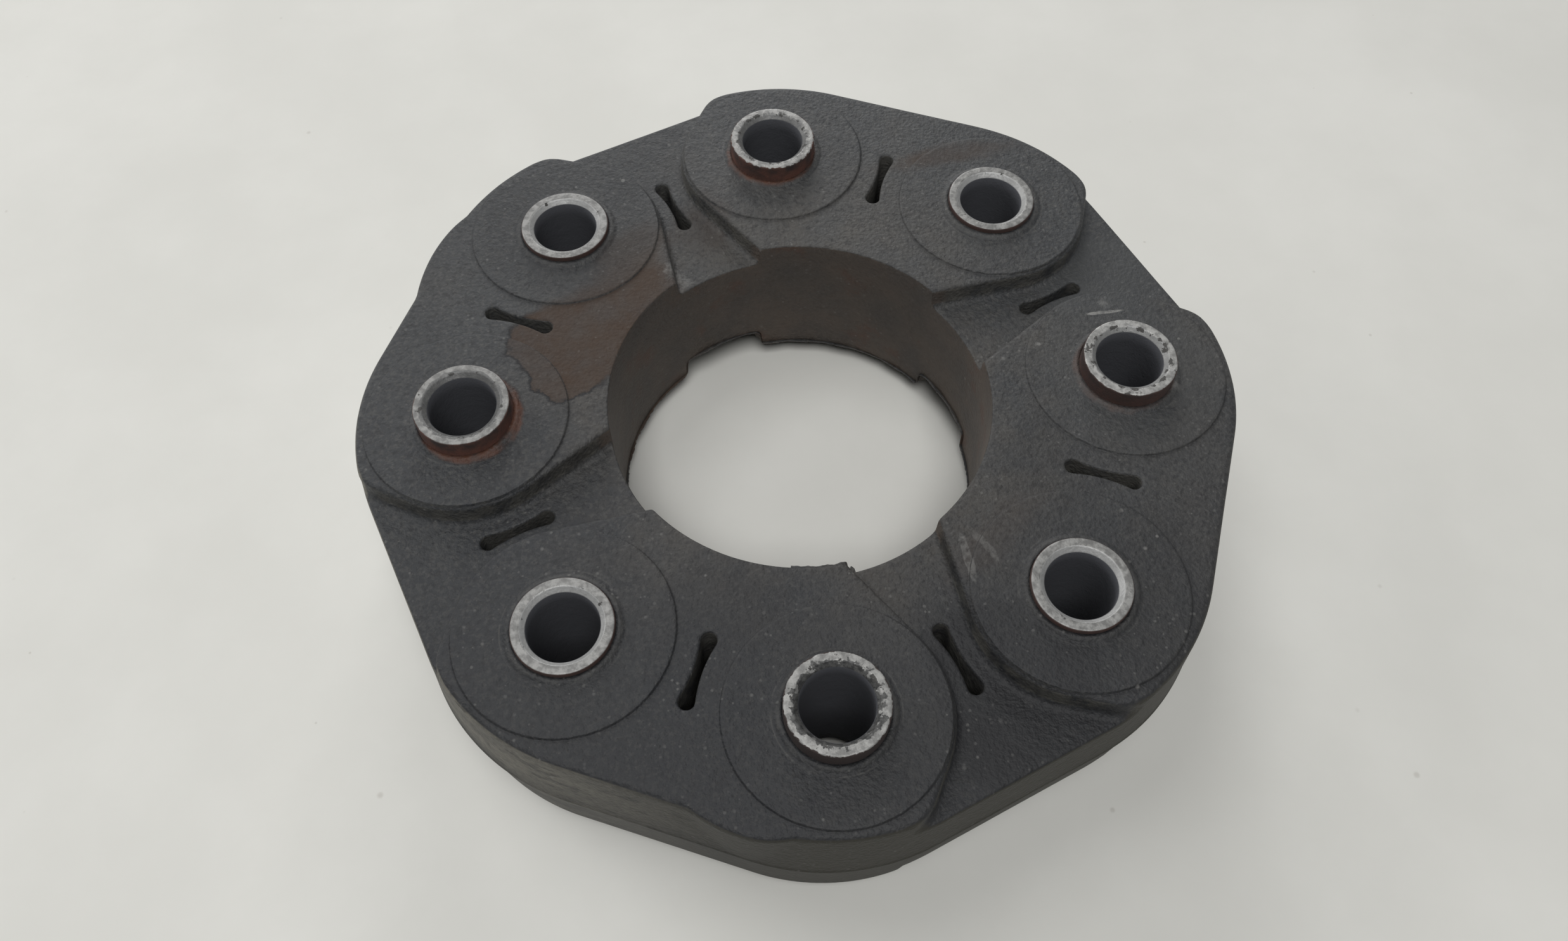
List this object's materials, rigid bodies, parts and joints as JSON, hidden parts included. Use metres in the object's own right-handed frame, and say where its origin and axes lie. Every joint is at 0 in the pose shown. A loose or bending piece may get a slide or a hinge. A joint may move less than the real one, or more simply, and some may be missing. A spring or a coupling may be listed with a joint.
{
  "type": "driveshaft coupling",
  "caption": "Flexible rubber disc coupling for a driveshaft: steel bolt sleeves on one circle, tied by cord loops in a moulded rubber body with waisted recesses and slots.",
  "frame": {"origin": "centre of the disc, on the mould's parting plane halfway through the rubber", "axes": "+Z along the shaft's axis, out of the side where sleeves 1, 3, 5 and 7 stand proud; +X through upper sleeve 1"},
  "size_m": [0.1622, 0.1622, 0.0396],
  "materials": {
    "moulded_rubber": "matte, aged and dusty",
    "zinc_plated_steel": "matt zinc, worn and rusty where it stands proud",
    "polyester_cord": "wound cord soaked in rubber solution"
  },
  "bodies": {
    "root": {"upper_sleeve_1": "zinc_plated_steel", "lower_sleeve_1": "zinc_plated_steel", "upper_sleeve_2": "zinc_plated_steel", "lower_sleeve_2": "zinc_plated_steel", "upper_sleeve_3": "zinc_plated_steel", "lower_sleeve_3": "zinc_plated_steel", "upper_sleeve_4": "zinc_plated_steel", "lower_sleeve_4": "zinc_plated_steel", "middle_cord_loop_1": "polyester_cord", "upper_cord_loop_1": "polyester_cord", "lower_cord_loop_1": "polyester_cord", "middle_cord_loop_2": "polyester_cord", "upper_cord_loop_2": "polyester_cord", "lower_cord_loop_2": "polyester_cord", "middle_cord_loop_3": "polyester_cord", "upper_cord_loop_3": "polyester_cord", "lower_cord_loop_3": "polyester_cord", "middle_cord_loop_4": "polyester_cord", "upper_cord_loop_4": "polyester_cord", "lower_cord_loop_4": "polyester_cord", "rubber_body": "moulded_rubber"}
  },
  "joints": []
}
